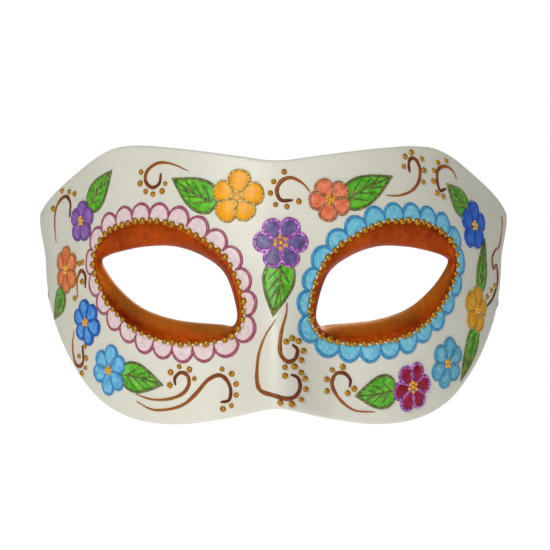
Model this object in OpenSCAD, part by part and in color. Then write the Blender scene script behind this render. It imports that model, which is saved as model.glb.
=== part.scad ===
// Half mask with raised painted decoration, worn face towards -Y, +Z up.
// Everything painted is laid out on a flat stencil of the mask, where a place is [u, z]:
// u runs round the face from the middle line, z runs up from the eye line.
// on_mask() lifts a stencil place onto the curved skin, so the decoration follows every size below.

/* [Shell] */
// Width across the temples
mask_w = 168; // [140:0.2:202]
// Height of the brow above the eye line
brow_h = 48; // [40:0.5:58]
// Drop of the cheeks below the eye line
cheek_h = 47; // [39:0.5:57]
// Half depth of the head that the mask wraps round
head_d = 110; // [90:1:132]
// How far round the head the temples reach, in degrees
wrap = 73; // [62:1:78]
// Pressed paper wall
wall = 2.2; // [1.6:0.1:3]
// How fast the skin falls back above and below the eye line
dome = 0.2; // [0:0.01:0.3]
// Outward turn of the upper temple corners
flare = 2.8; // [0:0.1:4]

/* [Nose] */
// Rise of the nose at the lower edge
nose_h = 14; // [8:0.5:18]
// Half width of the nose at the lower edge
nose_w = 14; // [11:0.5:17]
// Half width of the nose bridge
bridge_w = 8; // [6:0.5:10]

/* [Eyes] */
// Bridge between the two bead rows
eye_gap = 22.4; // [18:0.2:27]
// Width of an eye hole at its bead row
eye_w = 62.8; // [52:0.2:70]
// Height of an eye hole at its bead row
eye_h = 41.2; // [34:0.2:48]
// How far the lip of the eye hole turns back
lip_drop = 7; // [4:0.5:10]
// Thickness of the lip
lip_t = 1.4; // [1:0.1:2]

/* [Beads] */
// Diameter of a gold bead
bead_d = 2.2; // [1.6:0.1:2.6]
// Beads round one eye
bead_n = 52; // [40:1:56]
// Clearance from the beads to the copper lip
bead_in = 0.1; // [0.05:0.05:0.6]

/* [Petals] */
// Petals round one eye
petal_n = 22; // [16:1:26]
// Length of a petal beyond the bead row
petal_len = 6; // [4:0.2:7]
// Width of the raised line round each petal
line_w = 1; // [0.7:0.1:1.4]

/* [Paint] */
// Height of the flowers and leaves over the shell
relief = 0.8; // [0.5:0.1:1.4]
// Height of the petal fill over the shell
fill = 0.4; // [0.3:0.1:0.8]
// Depth of the paint keyed into the shell
key = 0.25; // [0.2:0.05:0.4]
// Widest part of a scroll stroke
stroke_w = 1.5; // [1:0.1:2]
// Diameter of a gold dot
dot_d = 2; // [1.4:0.1:2.4]

/* [Ribbons] */
// Width of a ribbon
ribbon_w = 9.5; // [7:0.5:12]
// Thickness of a ribbon
ribbon_t = 0.6; // [0.4:0.1:0.8]
// Length of the glued patch over a ribbon
patch_l = 22; // [16:1:28]
// Thickness of the glued patch
patch_t = 0.8; // [0.5:0.1:1.2]

/* [Hidden] */
tiny = 0.01;

// Stencil: places of the outline and the eye hole at the drawn size
sheet_edge = 122;
sheet_brow = 48;
sheet_cheek = 47;
sheet_eye_in = 11.2;
sheet_eye_out = 74;
sheet_eye_high = 22;
sheet_eye_low = 19.2;

// Head section, measured along its curve
head_a = mask_w / 2 / sin(wrap);
arc_step = 0.5;
arc_end = wrap + 6;
function section_at(t) = [head_a * sin(t), head_d * (1 - cos(t))];
arc = [for (t = 0, s = 0; t <= arc_end;
    s = s + norm(section_at(t + arc_step) - section_at(t)), t = t + arc_step) [s, t]];
lengths = [for (p = arc) [p[1], p[0]]];
half_arc = lookup(wrap, lengths);

// Heights at which the ribbons leave the temples, and how far a patch reaches past its ribbon.
// The temples turn out above the patches.
left_height = 1;
right_height = -3;
patch_over = 2;

// Skin of the mask
eye_in = eye_gap / 2;
eye_high = eye_h * sheet_eye_high / (sheet_eye_high + sheet_eye_low);
eye_low = eye_h - eye_high;
nose_top = 24;
nose_sink = 42;
dome_at = 100;
flare_from = 84;
flare_over = 38;
flare_low = max(left_height, right_height) + ribbon_w / 2 + patch_over;
flare_rise = 18;
function side(u) = u < 0 ? -1 : 1;
function ramp(v) = let (c = min(max(v, 0), 1)) c * c * (3 - 2 * c);
function nose_rise(u, z) =
    let (s = (nose_top - z) / (nose_top + nose_sink), w = bridge_w + (nose_w - bridge_w) * min(max(s, 0), 1))
    nose_h * ramp(s) * exp(-pow(u / w, 2));
function temple_turn(u, z) =
    flare * ramp((abs(u) - flare_from) / flare_over) * ramp((z - flare_low) / flare_rise);
function skin(u, z) =
    let (t = lookup(abs(u), arc), k = 1 - dome * pow(z / dome_at, 2))
    [side(u) * (head_a * sin(t) * k + temple_turn(u, z)), head_d * (1 - cos(t) * k) - nose_rise(u, z), z];
probe = 0.2;
function unit(v) = v / norm(v);
function facing(u, z) =
    unit(cross(skin(u + probe, z) - skin(u - probe, z), skin(u, z + probe) - skin(u, z - probe)));

// Stencil to mask
function across(u) = side(u) * lookup(abs(u), [
    [0, 0], [sheet_eye_in, eye_in], [sheet_eye_out, eye_in + eye_w], [sheet_edge, half_arc]]);
function upward(z) = lookup(z, [
    [-sheet_cheek, -cheek_h], [-sheet_eye_low, -eye_low], [sheet_eye_high, eye_high], [sheet_brow, brow_h]]);
function on_mask(p, lift = 0) =
    let (u = across(p[0]), z = upward(p[1])) skin(u, z) + lift * facing(u, z);

// Curves through chosen points
function through(a, b, c, d, t) =
    0.5 * (2 * b + (c - a) * t + (2 * a - 5 * b + 4 * c - d) * t * t + (3 * b - a - 3 * c + d) * t * t * t);
function closed_curve(p, n) = let (m = len(p)) [for (i = [0 : m - 1], k = [0 : n - 1])
    through(p[(i + m - 1) % m], p[i], p[(i + 1) % m], p[(i + 2) % m], k / n)];
function open_curve(p, n) = [for (i = [1 : len(p) - 3], k = [0 : n - 1])
    through(p[i - 1], p[i], p[i + 1], p[i + 2], k / n)];
function stroke_curve(p, n) = let (m = len(p))
    concat(open_curve(concat([2 * p[0] - p[1]], p, [2 * p[m - 1] - p[m - 2]]), n), [p[m - 1]]);
function leftward(d) = unit([-d[1], d[0]]);

// Steps square to a loop of the eye, in real millimetres whatever the eye's size
eye_scale = [eye_w / (sheet_eye_out - sheet_eye_in), eye_h / (sheet_eye_high + sheet_eye_low)];
function square_to(d, by) =
    let (n = by * leftward([d[0] * eye_scale[0], d[1] * eye_scale[1]]))
    [n[0] / eye_scale[0], n[1] / eye_scale[1]];
function widen(loop, by) = let (m = len(loop)) [for (i = [0 : m - 1])
    loop[i] + square_to(loop[(i + 1) % m] - loop[(i + m - 1) % m], by)];

// Loops of the eye hole, clockwise from the brow end of the bridge
per_span = 6;
bead_loop = closed_curve([
    [25, 15.5], [37, 20.8], [50, 22], [62, 20], [71, 15], [74, 8.5], [71, 0.5],
    [62, -9], [50, -16], [35, -19.2], [21, -18.6], [13.3, -15], [11.2, -6], [16, 7.5]], per_span);
hole_loop = closed_curve([
    [25.5, 10], [36, 13.2], [48, 13.2], [58.5, 11.8], [66, 10.3], [69.3, 8.5], [66, 4.2],
    [58.5, -2], [48, -8], [34.5, -11.6], [19, -12.9], [14.5, -13.1], [13.5, -8], [17.4, 3.8]], per_span);
cut_loop = widen(bead_loop, -bead_d / 2 - bead_in);
loop_n = len(bead_loop);

// Outline of the right half, clockwise from the top of the middle line
top_edge = open_curve([
    [-13, 43.5], [0, 42], [13, 43.5], [27, 45.4], [41, 47], [53, 48], [64, 47.9], [73, 46.2],
    [84, 42.4], [97, 37], [110, 31.4], [122, 26], [134, 20.6]], 3);
rear_edge = open_curve([[123, 37], [122, 26], [121, 15], [118.5, 4], [111, -8]], 3);
low_edge = open_curve([
    [121, 15], [118.5, 4], [111.5, -8], [101, -19], [88, -30.5], [73, -40.5], [55, -46], [36, -47],
    [18, -44.4], [0, -40.3], [-18, -44.4]], 3);
middle_n = 24;
middle_low = -40.3;
middle_high = 42;
middle_edge = [for (i = [0 : middle_n - 1]) [0, middle_low + (middle_high - middle_low) * i / middle_n]];
outline = concat(top_edge, rear_edge, low_edge, middle_edge);
middle_start = loop_n - middle_n;
rings = 7;

// Raised paint: cut outlines, strokes and drops
function mirrored(p) = [for (i = [len(p) - 1 : -1 : 0]) [-p[i][0], p[i][1]]];
function loop_sums(loop) = let (m = len(loop))
    [for (i = 0, s = 0; i <= m; s = s + norm(loop[(i + 1) % m] - loop[i % m]), i = i + 1) s];
bead_sums = loop_sums(bead_loop);
bead_total = bead_sums[loop_n];
bead_across = [for (i = [0 : loop_n]) [bead_sums[i], bead_loop[i % loop_n][0]]];
bead_upward = [for (i = [0 : loop_n]) [bead_sums[i], bead_loop[i % loop_n][1]]];
function wrapped(s) = s - bead_total * floor(s / bead_total);
function along_beads(s) = [lookup(wrapped(s), bead_across), lookup(wrapped(s), bead_upward)];
look_each_side = 1.5;
function off_beads(s, by) =
    along_beads(s) + square_to(along_beads(s + look_each_side) - along_beads(s - look_each_side), by);

// Solid along a row of equal cross-sections, whose points run clockwise as seen looking along the row.
// cap lists the triangles that close an end: a fan from the first point, unless the section is hollowed.
module loft(sections, closed = false, cap = []) {
    m = len(sections);
    k = len(sections[0]);
    spans = closed ? m : m - 1;
    fan = len(cap) > 0 ? cap : [for (j = [1 : k - 2]) [0, j, j + 1]];
    far = (m - 1) * k;
    function at(i, j) = (i % m) * k + j % k;
    sides = [for (i = [0 : spans - 1], j = [0 : k - 1], h = [0, 1])
        h == 0 ? [at(i, j), at(i + 1, j), at(i + 1, j + 1)] : [at(i, j), at(i + 1, j + 1), at(i, j + 1)]];
    caps = closed ? [] : concat(fan, [for (f = fan) [far + f[0], far + f[2], far + f[1]]]);
    polyhedron([for (c = sections, q = c) q], concat(sides, caps));
}

// Raised pad: rings about a middle with a crowned top, from an outline that runs clockwise
pad_inner = 0.55;
pad_crown = 1.15;
module pad(outer, centre) {
    m = len(outer);
    inner = [for (p = outer) centre + pad_inner * (p - centre)];
    points = concat(
        [on_mask(centre, relief * pad_crown)],
        [for (p = inner) on_mask(p, relief * pad_crown)],
        [for (p = outer) on_mask(p, relief)],
        [for (p = outer) on_mask(p, -key)],
        [for (p = inner) on_mask(p, -key)],
        [on_mask(centre, -key)]);
    last = 4 * m + 1;
    function ring(r, i) = 1 + r * m + i % m;
    faces = concat(
        [for (i = [0 : m - 1]) [0, ring(0, i), ring(0, i + 1)]],
        [for (r = [0 : 2], i = [0 : m - 1]) [ring(r, i), ring(r + 1, i), ring(r + 1, i + 1)]],
        [for (r = [0 : 2], i = [0 : m - 1]) [ring(r, i), ring(r + 1, i + 1), ring(r, i + 1)]],
        [for (i = [0 : m - 1]) [last, ring(3, i + 1), ring(3, i)]]);
    polyhedron(points, faces);
}

// Drop of paint standing on the skin at a stencil place
drop_rise = 0.5;
module stand_on(p, lift) {
    n = facing(across(p[0]), upward(p[1]));
    translate(on_mask(p, lift)) rotate([0, acos(n[2]), atan2(n[1], n[0])]) children();
}
module drops(places, d = dot_d) {
    rise = d * drop_rise;
    cap = (d * d / 4 + rise * rise) / (2 * rise);
    for (p = places) stand_on(p, -key) rotate_extrude($fn = 24) {
        square([d / 2, key]);
        intersection() {
            translate([0, key + rise - cap]) circle(r = cap, $fn = 48);
            translate([0, key - tiny]) square([d / 2, rise + tiny]);
        }
    }
}

// Shell of pressed paper, one closed skin with a turned wall at its outline and its two eye holes
function blend(i, r) = cut_loop[i] + (outline[i] - cut_loop[i]) * r / rings;
module mask_shell() {
    m = loop_n;
    places = [for (r = [0 : rings], i = [0 : m - 1]) blend(i, r)];
    half = len(places);
    points = [for (s = [1, -1], lift = [0, -wall], p = places) on_mask([s * max(p[0], 0), p[1]], lift)];
    function on_middle(r, i) = r == rings && (i % m == 0 || i % m >= middle_start);
    function at(s, l, r, i) = ((s == 1 && on_middle(r, i) ? 0 : s) * 2 + l) * half + r * m + i % m;
    function turned(t, flip) = flip ? [t[0], t[2], t[1]] : t;
    skins = [for (s = [0, 1], l = [0, 1], r = [0 : rings - 1], i = [0 : m - 1], h = [0, 1])
        turned(h == 0 ? [at(s, l, r, i), at(s, l, r + 1, i), at(s, l, r + 1, i + 1)]
            : [at(s, l, r, i), at(s, l, r + 1, i + 1), at(s, l, r, i + 1)], s != l)];
    walls = [for (s = [0, 1], r = [0, rings], i = [0 : m - 1], h = [0, 1])
        if (r == 0 || i < middle_start)
            turned(h == 0 ? [at(s, 0, r, i), at(s, 0, r, i + 1), at(s, 1, r, i + 1)]
                : [at(s, 0, r, i), at(s, 1, r, i + 1), at(s, 1, r, i)], (r == 0) != (s == 0))];
    color("ivory") polyhedron(points, concat(skins, walls));
}

// Lip of an eye hole, turned back from the cut edge of the shell
module eye_rim(cut, hole) {
    color("sienna") loft([for (i = [0 : len(cut) - 1])
        let (front = on_mask(hole[i]) + [0, lip_drop, 0])
        [on_mask(cut[i], -wall), on_mask(cut[i]), front, front + [0, lip_t, 0]]], true);
}
module left_eye_rim() { eye_rim(mirrored(cut_loop), mirrored(hole_loop)); }
module right_eye_rim() { eye_rim(cut_loop, hole_loop); }

// Bead row of an eye
bead_places = [for (i = [0 : bead_n - 1]) along_beads(bead_total * i / bead_n)];
module left_eye_beads() { color("goldenrod") drops(mirrored(bead_places), bead_d); }
module right_eye_beads() { color("goldenrod") drops(bead_places, bead_d); }

// Petals round an eye: shorter where the row runs up and down
petal_side = 0.62;
petal_valley = 0.45;
petal_round = 0.6;
petal_steps = 6;
petal_all = petal_n * petal_steps;
petal_root = bead_d / 2 + 0.1;
line_gap = 0.15;
function petal_reach(s) =
    let (d = unit(along_beads(s + look_each_side) - along_beads(s - look_each_side)))
    petal_root + (petal_len - petal_root) * (petal_side + (1 - petal_side) * abs(d[0]));
function petal_edge(i) =
    let (s = bead_total * i / petal_all, f = (i % petal_steps) / petal_steps)
    off_beads(s, petal_reach(s) * (petal_valley + (1 - petal_valley) * pow(sin(180 * f), petal_round)));
petal_outer = [for (i = [0 : petal_all - 1]) petal_edge(i)];
petal_inner = [for (i = [0 : petal_all - 1]) off_beads(bead_total * i / petal_all, petal_root)];
module petal_fill(outer, inner) {
    loft([for (i = [0 : len(outer) - 1])
        [on_mask(outer[i], -key), on_mask(outer[i], fill),
         on_mask(inner[i], fill), on_mask(inner[i], -key)]], true);
}
function line_row(p, n, half) =
    [on_mask(p + half * n, -key), on_mask(p, relief), on_mask(p - half * n, -key)];
module petal_lines(outer, inner, first) {
    m = len(outer);
    half = line_w / 2;
    loft([for (i = [0 : m - 1])
        line_row(outer[i], leftward(outer[(i + 1) % m] - outer[(i + m - 1) % m]), half)], true);
    for (i = [first : petal_steps : m - 1]) {
        d = unit(outer[i] - inner[i]);
        top = outer[i] - (half + line_gap) * d;
        loft([line_row(inner[i], leftward(d), half / 2), line_row(top, leftward(d), half / 2)]);
    }
}
module left_petal_fill() { color("mistyrose") petal_fill(mirrored(petal_outer), mirrored(petal_inner)); }
module right_petal_fill() { color("skyblue") petal_fill(petal_outer, petal_inner); }
module left_petal_lines() {
    color("palevioletred") petal_lines(mirrored(petal_outer), mirrored(petal_inner), petal_steps - 1);
}
module right_petal_lines() { color("steelblue") petal_lines(petal_outer, petal_inner, 0); }

// Flowers: a round of petals about a middle
flower_steps = 6;
flower_throat = 0.55;
flower_round = 0.55;
module flower(c, r, n, first) {
    m = n * flower_steps;
    pad([for (i = [0 : m - 1])
        let (a = first + 360 * i / m - 180 / n, f = (i % flower_steps) / flower_steps,
             reach = r * (flower_throat + (1 - flower_throat) * pow(sin(180 * f), flower_round)))
        c + reach * [sin(a), cos(a)]], c);
}
at_purple_left = [-82.4, 22.4];
at_orange_left = [-92.8, 5.4];
at_blue_left = [-78.4, -12.8];
at_sky_left = [-66.2, -29];
at_yellow_top = [-13.5, 29.5];
at_violet_centre = [1.3, 14.2];
at_salmon_top = [18.2, 28.7];
at_blue_right = [86.5, 21];
at_yellow_right = [87.5, -8.5];
at_sky_right = [69, -27];
at_crimson_right = [51.5, -34.5];
module flower_purple_left() { color("mediumorchid") flower(at_purple_left, 7.6, 5, 0); }
module flower_orange_left() { color("orange") flower(at_orange_left, 8.8, 6, 0); }
module flower_blue_left() { color("royalblue") flower(at_blue_left, 8.2, 6, -10); }
module flower_sky_left() { color("deepskyblue") flower(at_sky_left, 8.8, 6, 15); }
module flower_yellow_top() { color("gold") flower(at_yellow_top, 9.2, 5, 5); }
module flower_violet_centre() { color("slateblue") flower(at_violet_centre, 9.3, 6, 30); }
module flower_salmon_top() { color("salmon") flower(at_salmon_top, 7.7, 5, 47); }
module flower_blue_right() { color("royalblue") flower(at_blue_right, 8.6, 5, 5); }
module flower_yellow_right() { color("gold") flower(at_yellow_right, 8.4, 5, 10); }
module flower_sky_right() { color("deepskyblue") flower(at_sky_right, 9, 6, 5); }
module flower_crimson_right() { color("crimson") flower(at_crimson_right, 8.9, 6, 20); }
centre_rise = 0.9;
centre_d = 4.4;
centre_taper = 0.6;
module flower_centres() {
    color("gold") for (c = [
        at_purple_left, at_orange_left, at_blue_left, at_sky_left, at_yellow_top, at_violet_centre,
        at_salmon_top, at_blue_right, at_yellow_right, at_sky_right, at_crimson_right])
        stand_on(c, relief) cylinder(h = centre_rise, d1 = centre_d, d2 = centre_d * centre_taper, $fn = 24);
}

// Leaves: two curved sides from a stalk end to a tip
leaf_steps = 7;
leaf_belly = 0.85;
leaf_round = 0.75;
leaf_middle = 0.45;
module leaf(stalk, tip, width) {
    along = tip - stalk;
    out = leftward(along);
    function edge(f, way) =
        stalk + f * along + way * width / 2 * pow(sin(180 * pow(f, leaf_belly)), leaf_round) * out;
    outer = concat(
        [for (i = [0 : leaf_steps - 1]) edge(i / leaf_steps, 1)],
        [for (i = [leaf_steps : -1 : 1]) edge(i / leaf_steps, -1)]);
    pad(outer, stalk + along * leaf_middle);
}
module leaf_temple_left() { color("limegreen") leaf([-76.8, 28.4], [-66.5, 39.5], 9.5); }
module leaf_cheek_left() { color("limegreen") leaf([-96.5, -3.4], [-105, -12], 8); }
module leaf_low_left() { color("limegreen") leaf([-57.9, -30.5], [-41.5, -33.5], 9.5); }
module leaf_top_left() { color("limegreen") leaf([-22.3, 27.9], [-37.5, 36], 10); }
module leaf_bridge() { color("limegreen") leaf([1.3, 6.8], [-1.4, -9.8], 9.6); }
module leaf_top_right() { color("limegreen") leaf([24.5, 29], [42.5, 37], 9.5); }
module leaf_temple_right() { color("limegreen") leaf([80.4, 27], [70.5, 35], 8.5); }
module leaf_side_right() { color("limegreen") leaf([91, -0.5], [95, 16], 7.5); }
module leaf_cheek_right() { color("limegreen") leaf([87.5, -16.5], [79.5, -33], 8); }
module leaf_low_right() { color("limegreen") leaf([42.2, -35.5], [28, -37], 10.5); }

// Scrolls: brush strokes that curl at one end and are thin at both
stroke_rise = 0.7;
stroke_thin = 0.45;
stroke_per_span = 3;
module scroll(path) {
    p = stroke_curve(path, stroke_per_span);
    m = len(p);
    color("chocolate") loft([for (i = [0 : m - 1])
        let (half = stroke_w / 2 * (stroke_thin + (1 - stroke_thin) * sin(180 * i / (m - 1))),
             n = leftward(p[min(i + 1, m - 1)] - p[max(i - 1, 0)]))
        [on_mask(p[i] + half * n, -key), on_mask(p[i], stroke_rise), on_mask(p[i] - half * n, -key)]]);
}
module scroll_top_left() {
    scroll([[-31.5, 38.5], [-38, 41], [-44, 41.5], [-48.5, 39],
        [-49, 35.5], [-46, 33.2], [-43, 34.5], [-42.5, 38]]);
}
module scroll_top_centre() {
    scroll([[11.5, 31], [9, 34], [5, 36], [1.5, 34.8], [0, 31.5], [1.5, 28.5], [5.5, 28.5]]);
}
module scroll_brow_right() {
    scroll([[39.5, 30.5], [45, 30.5], [50.5, 32], [54.5, 35], [56, 39], [55, 42.5], [52.5, 43.5],
        [50.8, 41.8], [50.8, 38.5]]);
}
module scroll_temple_right() {
    scroll([[77, 37], [75, 40], [70.5, 41.3], [66, 40], [64.8, 36.5], [66, 32.8], [69.5, 33.5]]);
}
module scroll_temple_left() {
    scroll([[-102.5, 15], [-103, 24], [-101.5, 29], [-96, 31.5], [-92, 29], [-91.5, 24]]);
}
module scroll_side_left() { scroll([[-84, -4.5], [-84.5, 1.5], [-82, 5], [-79, 3.5], [-79, -1]]); }
module scroll_cheek_left() {
    scroll([[-87.5, -16], [-89.5, -21.5], [-88.5, -27], [-85.5, -28.5], [-82.3, -26.5], [-82, -21]]);
}
module scroll_low_left_inner() {
    scroll([[-53.5, -37], [-46.5, -38.6], [-39, -38.2], [-33.5, -36.2], [-31, -33],
        [-31.5, -30], [-34, -29.2], [-36.3, -31], [-36.3, -33.5]]);
}
module scroll_low_left_outer() {
    scroll([[-53.5, -39.5], [-47, -42], [-40, -41.8], [-33.5, -40], [-28.5, -36.2], [-24, -31.6],
        [-20, -29.8], [-17.2, -31.2], [-15.8, -34.5], [-16.5, -38], [-19.5, -38.8]]);
}
module scroll_nose_long() {
    scroll([[-0.5, -11], [-4, -16.5], [-6, -22], [-6.7, -27], [-6.7, -31.5], [-5.5, -34.4], [-1.2, -35.8],
        [3, -36.9], [6.2, -36.2], [7.7, -33.5], [7, -30.3], [4.5, -29]]);
}
module scroll_nose_short() {
    scroll([[3.2, -5.5], [3, -9], [1.6, -14], [0.9, -18.5], [1.2, -22.5], [3.5, -24.8], [6, -23.8],
        [6.7, -21], [5, -19.2]]);
}
module scroll_low_right() {
    scroll([[36, -42.6], [28.5, -42], [23.5, -39.3], [20, -35.3], [19, -32], [20.5, -29.3], [23.5, -29.3],
        [25.7, -31.5], [25.5, -34]]);
}
module scroll_edge_right() {
    scroll([[111.5, 25], [112.5, 20], [111.5, 14], [107, 12.5], [103.5, 9.5], [105, 6], [109.5, 7],
        [110.5, 1], [104.5, -4.5], [97.5, -7.5]]);
}

// Gold dots beside the scrolls
module dots_left() {
    color("goldenrod") drops([
        [-51.8, 38.7], [-51.8, 34.5], [-48.8, 31.4], [-45.3, 30.4], [-41.2, 31.4], [-39.8, 34.3],
        [-105.2, 27.5], [-99, 34], [-93, 33.5], [-88.8, 32.5],
        [-86.3, -4.6], [-81.4, 1.3], [-83.2, 8.1], [-80.7, 8.6],
        [-85.3, -24.8], [-83.6, -31.4], [-80.4, -29.2], [-79.4, -25.4], [-79.7, -21.3],
        [-38.3, -28.8], [-34.5, -26.6], [-30.2, -27.6], [-28.3, -31], [-39, -33.5]]);
}
module dots_middle() {
    color("goldenrod") drops([
        [2.3, 38.5], [-1.5, 35], [-2.7, 30.8], [-0.8, 26.6], [3.5, 25.8], [7.8, 28],
        [-18.5, -27.2], [-14.9, -28.8], [-13.3, -32.3], [-13.6, -36.2], [-15.6, -39.8], [-18.6, -41.6],
        [2, -29.5], [8.3, -28.1], [9.6, -30.5], [10.2, -34.2], [8.6, -37.8], [5, -39], [1, -38.2],
        [3, -18.3], [4.9, -16.8], [7.4, -17.7], [8.8, -21.4], [8.4, -24.6], [5.8, -26.8], [2.3, -27.1]]);
}
module dots_right() {
    color("goldenrod") drops([
        [52.5, 46], [48.8, 44.3], [47.7, 40.5], [58, 43.6], [58.3, 39.5], [57.5, 35.2],
        [71.5, 43.7], [66, 42.9], [62.8, 39.8], [62, 35.8], [63.5, 31.5], [67.5, 30.3],
        [18.6, -27.6], [22.8, -26.9], [16.5, -31], [16.7, -35.2], [27.3, -34.5], [24.8, -36.3],
        [106, 0.3], [101.5, -1.5], [97, -3.7]]);
}

// Ribbons: glued inside the temples, they sag to a bow tied behind the bridge.
glue_to = 108;
glue_in = 1;
glue_step = 5;
edge_at = 117;
glue_from = glue_to - patch_l + glue_in;
function in_temple(s, u, z, off, lift) =
    let (a = across(s * u), b = upward(z) + off) skin(a, b) - (wall + lift) * facing(a, b);

// Free run of the right ribbon: knot, long loop, knot, short loop, knot, tail
drawn_w = 168;
drawn_d = 110;
turn_in = 0.16 * ribbon_w;
turn_out = turn_in + 0.5;
free_run = [
    [82, 79, 0], [83, 86, -0.5], [82, 93.5, -3], [76.4, 100.5, -7], [64.6, 104, -13],
    [50, 105, -19], [35, 105, -24], [20, 105.5, -27.5], [8, 107, -29.5], [turn_in, 108.5, -30.5],
    [turn_out, 110, -31], [10, 109.8, -32.5], [22, 111, -34.5], [38, 112, -37], [52, 114.5, -38.5],
    [57, 119.5, -39.5], [52, 124.5, -39], [38, 127, -37], [22, 125, -35], [10, 119, -33], [turn_in, 114, -31],
    [turn_out, 112.5, -32], [10, 113.3, -34], [22, 115.8, -36.5], [33, 117, -38.5],
    [37.5, 119.3, -39], [33, 121.6, -38.5], [22, 121, -37], [10, 116.2, -35], [turn_in, 112.5, -33.5],
    [turn_out, 111, -35], [9, 110.5, -40.5], [20, 111.5, -43.5], [31, 112.5, -44.5]
];
settle_over = 8;
function behind(s, i, height) =
    let (q = free_run[i])
    [s * q[0] * mask_w / drawn_w, q[1] * head_d / drawn_d, q[2] + height * max(0, 1 - i / settle_over)];
knot_at = [0, 111.2 * head_d / drawn_d, -32];
knot_r = 6.2;
knot_l = 13;
knot_end = 0.72;
pinch_to = 0.55;
pinch_over = 16;
ribbon_per_span = 2;
function pinched(x) = ribbon_w * (pinch_to + (1 - pinch_to) * ramp(abs(x) / pinch_over));
function strip_row(p, d) =
    let (up = unit([0, 0, 1] - d[2] * d), n = cross(d, up), w = pinched(p[0]) / 2, t = ribbon_t / 2)
    [p + w * up + t * n, p + w * up - t * n, p - w * up - t * n, p - w * up + t * n];
function glued_run(s, height) =
    [for (u = [glue_from : glue_step : edge_at]) in_temple(s, u, height, 0, ribbon_t / 2 - key / 2)];
function hanging_run(s, height) = [for (i = [0 : len(free_run) - 1]) behind(s, i, height)];
module ribbon(s, height) {
    p = stroke_curve(concat(glued_run(s, height), hanging_run(s, height)), ribbon_per_span);
    m = len(p);
    color("black") loft([for (i = [0 : m - 1])
        strip_row(p[i], unit(p[min(i + 1, m - 1)] - p[max(i - 1, 0)]))]);
}
module left_ribbon() { ribbon(-1, left_height); }
module right_ribbon() { ribbon(1, right_height); }
module ribbon_knot() {
    color("black") translate(knot_at) rotate([0, 90, 0]) rotate_extrude($fn = 32) polygon([
        [0, -knot_l / 2], [knot_r * knot_end, -knot_l / 2], [knot_r, -knot_l / 5],
        [knot_r, knot_l / 5], [knot_r * knot_end, knot_l / 2], [0, knot_l / 2]]);
}

// Paper patch over the glued end of a ribbon, with a channel that the ribbon lies in
patch_steps = 6;
channel_play = 0.1;
channel_cap = [[0, 1, 6], [0, 6, 7], [1, 2, 5], [1, 5, 6], [2, 3, 4], [2, 4, 5]];
module patch(s, height) {
    in = ribbon_w / 2 + channel_play;
    out = ribbon_w / 2 + patch_over;
    back = ribbon_t + patch_t;
    profile = [[out, -key], [out, back], [-out, back], [-out, -key],
        [-in, -key], [-in, ribbon_t], [in, ribbon_t], [in, -key]];
    color("beige") loft([for (i = [0 : patch_steps])
        let (u = glue_to - patch_l * i / patch_steps)
        [for (q = profile) in_temple(s, u, height, -s * q[0], q[1])]], false, channel_cap);
}
module left_ribbon_patch() { patch(-1, left_height); }
module right_ribbon_patch() { patch(1, right_height); }

mask_shell();
left_eye_rim();
right_eye_rim();
left_eye_beads();
right_eye_beads();
left_petal_fill();
right_petal_fill();
left_petal_lines();
right_petal_lines();
flower_purple_left();
flower_orange_left();
flower_blue_left();
flower_sky_left();
flower_yellow_top();
flower_violet_centre();
flower_salmon_top();
flower_blue_right();
flower_yellow_right();
flower_sky_right();
flower_crimson_right();
flower_centres();
leaf_temple_left();
leaf_cheek_left();
leaf_low_left();
leaf_top_left();
leaf_bridge();
leaf_top_right();
leaf_temple_right();
leaf_side_right();
leaf_cheek_right();
leaf_low_right();
scroll_top_left();
scroll_top_centre();
scroll_brow_right();
scroll_temple_right();
scroll_temple_left();
scroll_side_left();
scroll_cheek_left();
scroll_low_left_inner();
scroll_low_left_outer();
scroll_nose_long();
scroll_nose_short();
scroll_low_right();
scroll_edge_right();
dots_left();
dots_middle();
dots_right();
left_ribbon();
right_ribbon();
ribbon_knot();
left_ribbon_patch();
right_ribbon_patch();
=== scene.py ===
import math
import random
from bisect import bisect_right

import bmesh
import bpy
from mathutils import Matrix, Vector, noise


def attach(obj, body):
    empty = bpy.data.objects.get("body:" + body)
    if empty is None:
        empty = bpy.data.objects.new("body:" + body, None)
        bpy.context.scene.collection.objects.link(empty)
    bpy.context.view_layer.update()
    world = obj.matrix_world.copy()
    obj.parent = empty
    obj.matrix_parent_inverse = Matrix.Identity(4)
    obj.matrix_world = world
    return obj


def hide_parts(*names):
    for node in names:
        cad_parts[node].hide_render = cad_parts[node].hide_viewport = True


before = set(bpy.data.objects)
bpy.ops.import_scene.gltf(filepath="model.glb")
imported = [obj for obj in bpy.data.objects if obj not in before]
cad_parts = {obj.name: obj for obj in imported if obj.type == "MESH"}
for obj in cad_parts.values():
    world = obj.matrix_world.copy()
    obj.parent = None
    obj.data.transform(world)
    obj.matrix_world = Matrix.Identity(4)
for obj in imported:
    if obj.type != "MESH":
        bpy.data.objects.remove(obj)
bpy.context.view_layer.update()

dice = random.Random(7)
print("frame loaded:", len(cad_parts), "nodes")


# camera, first
cameraPlan = {"place": (-0.0111, -0.750, 0.0036), "yaw": -0.8, "lens": 148, "sensor": 36}
cameraData = bpy.data.cameras.new("portraitCamera")
cameraData.lens = cameraPlan["lens"]
cameraData.sensor_width = cameraPlan["sensor"]
camera = bpy.data.objects.new("portraitCamera", cameraData)
camera.location = cameraPlan["place"]
camera.rotation_euler = (math.radians(90), 0, math.radians(cameraPlan["yaw"]))
bpy.context.collection.objects.link(camera)
bpy.context.scene.camera = camera
bpy.context.scene.view_settings.view_transform = "Standard"  # keeps the paint colours as bright as they are
print("camera set")


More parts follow.
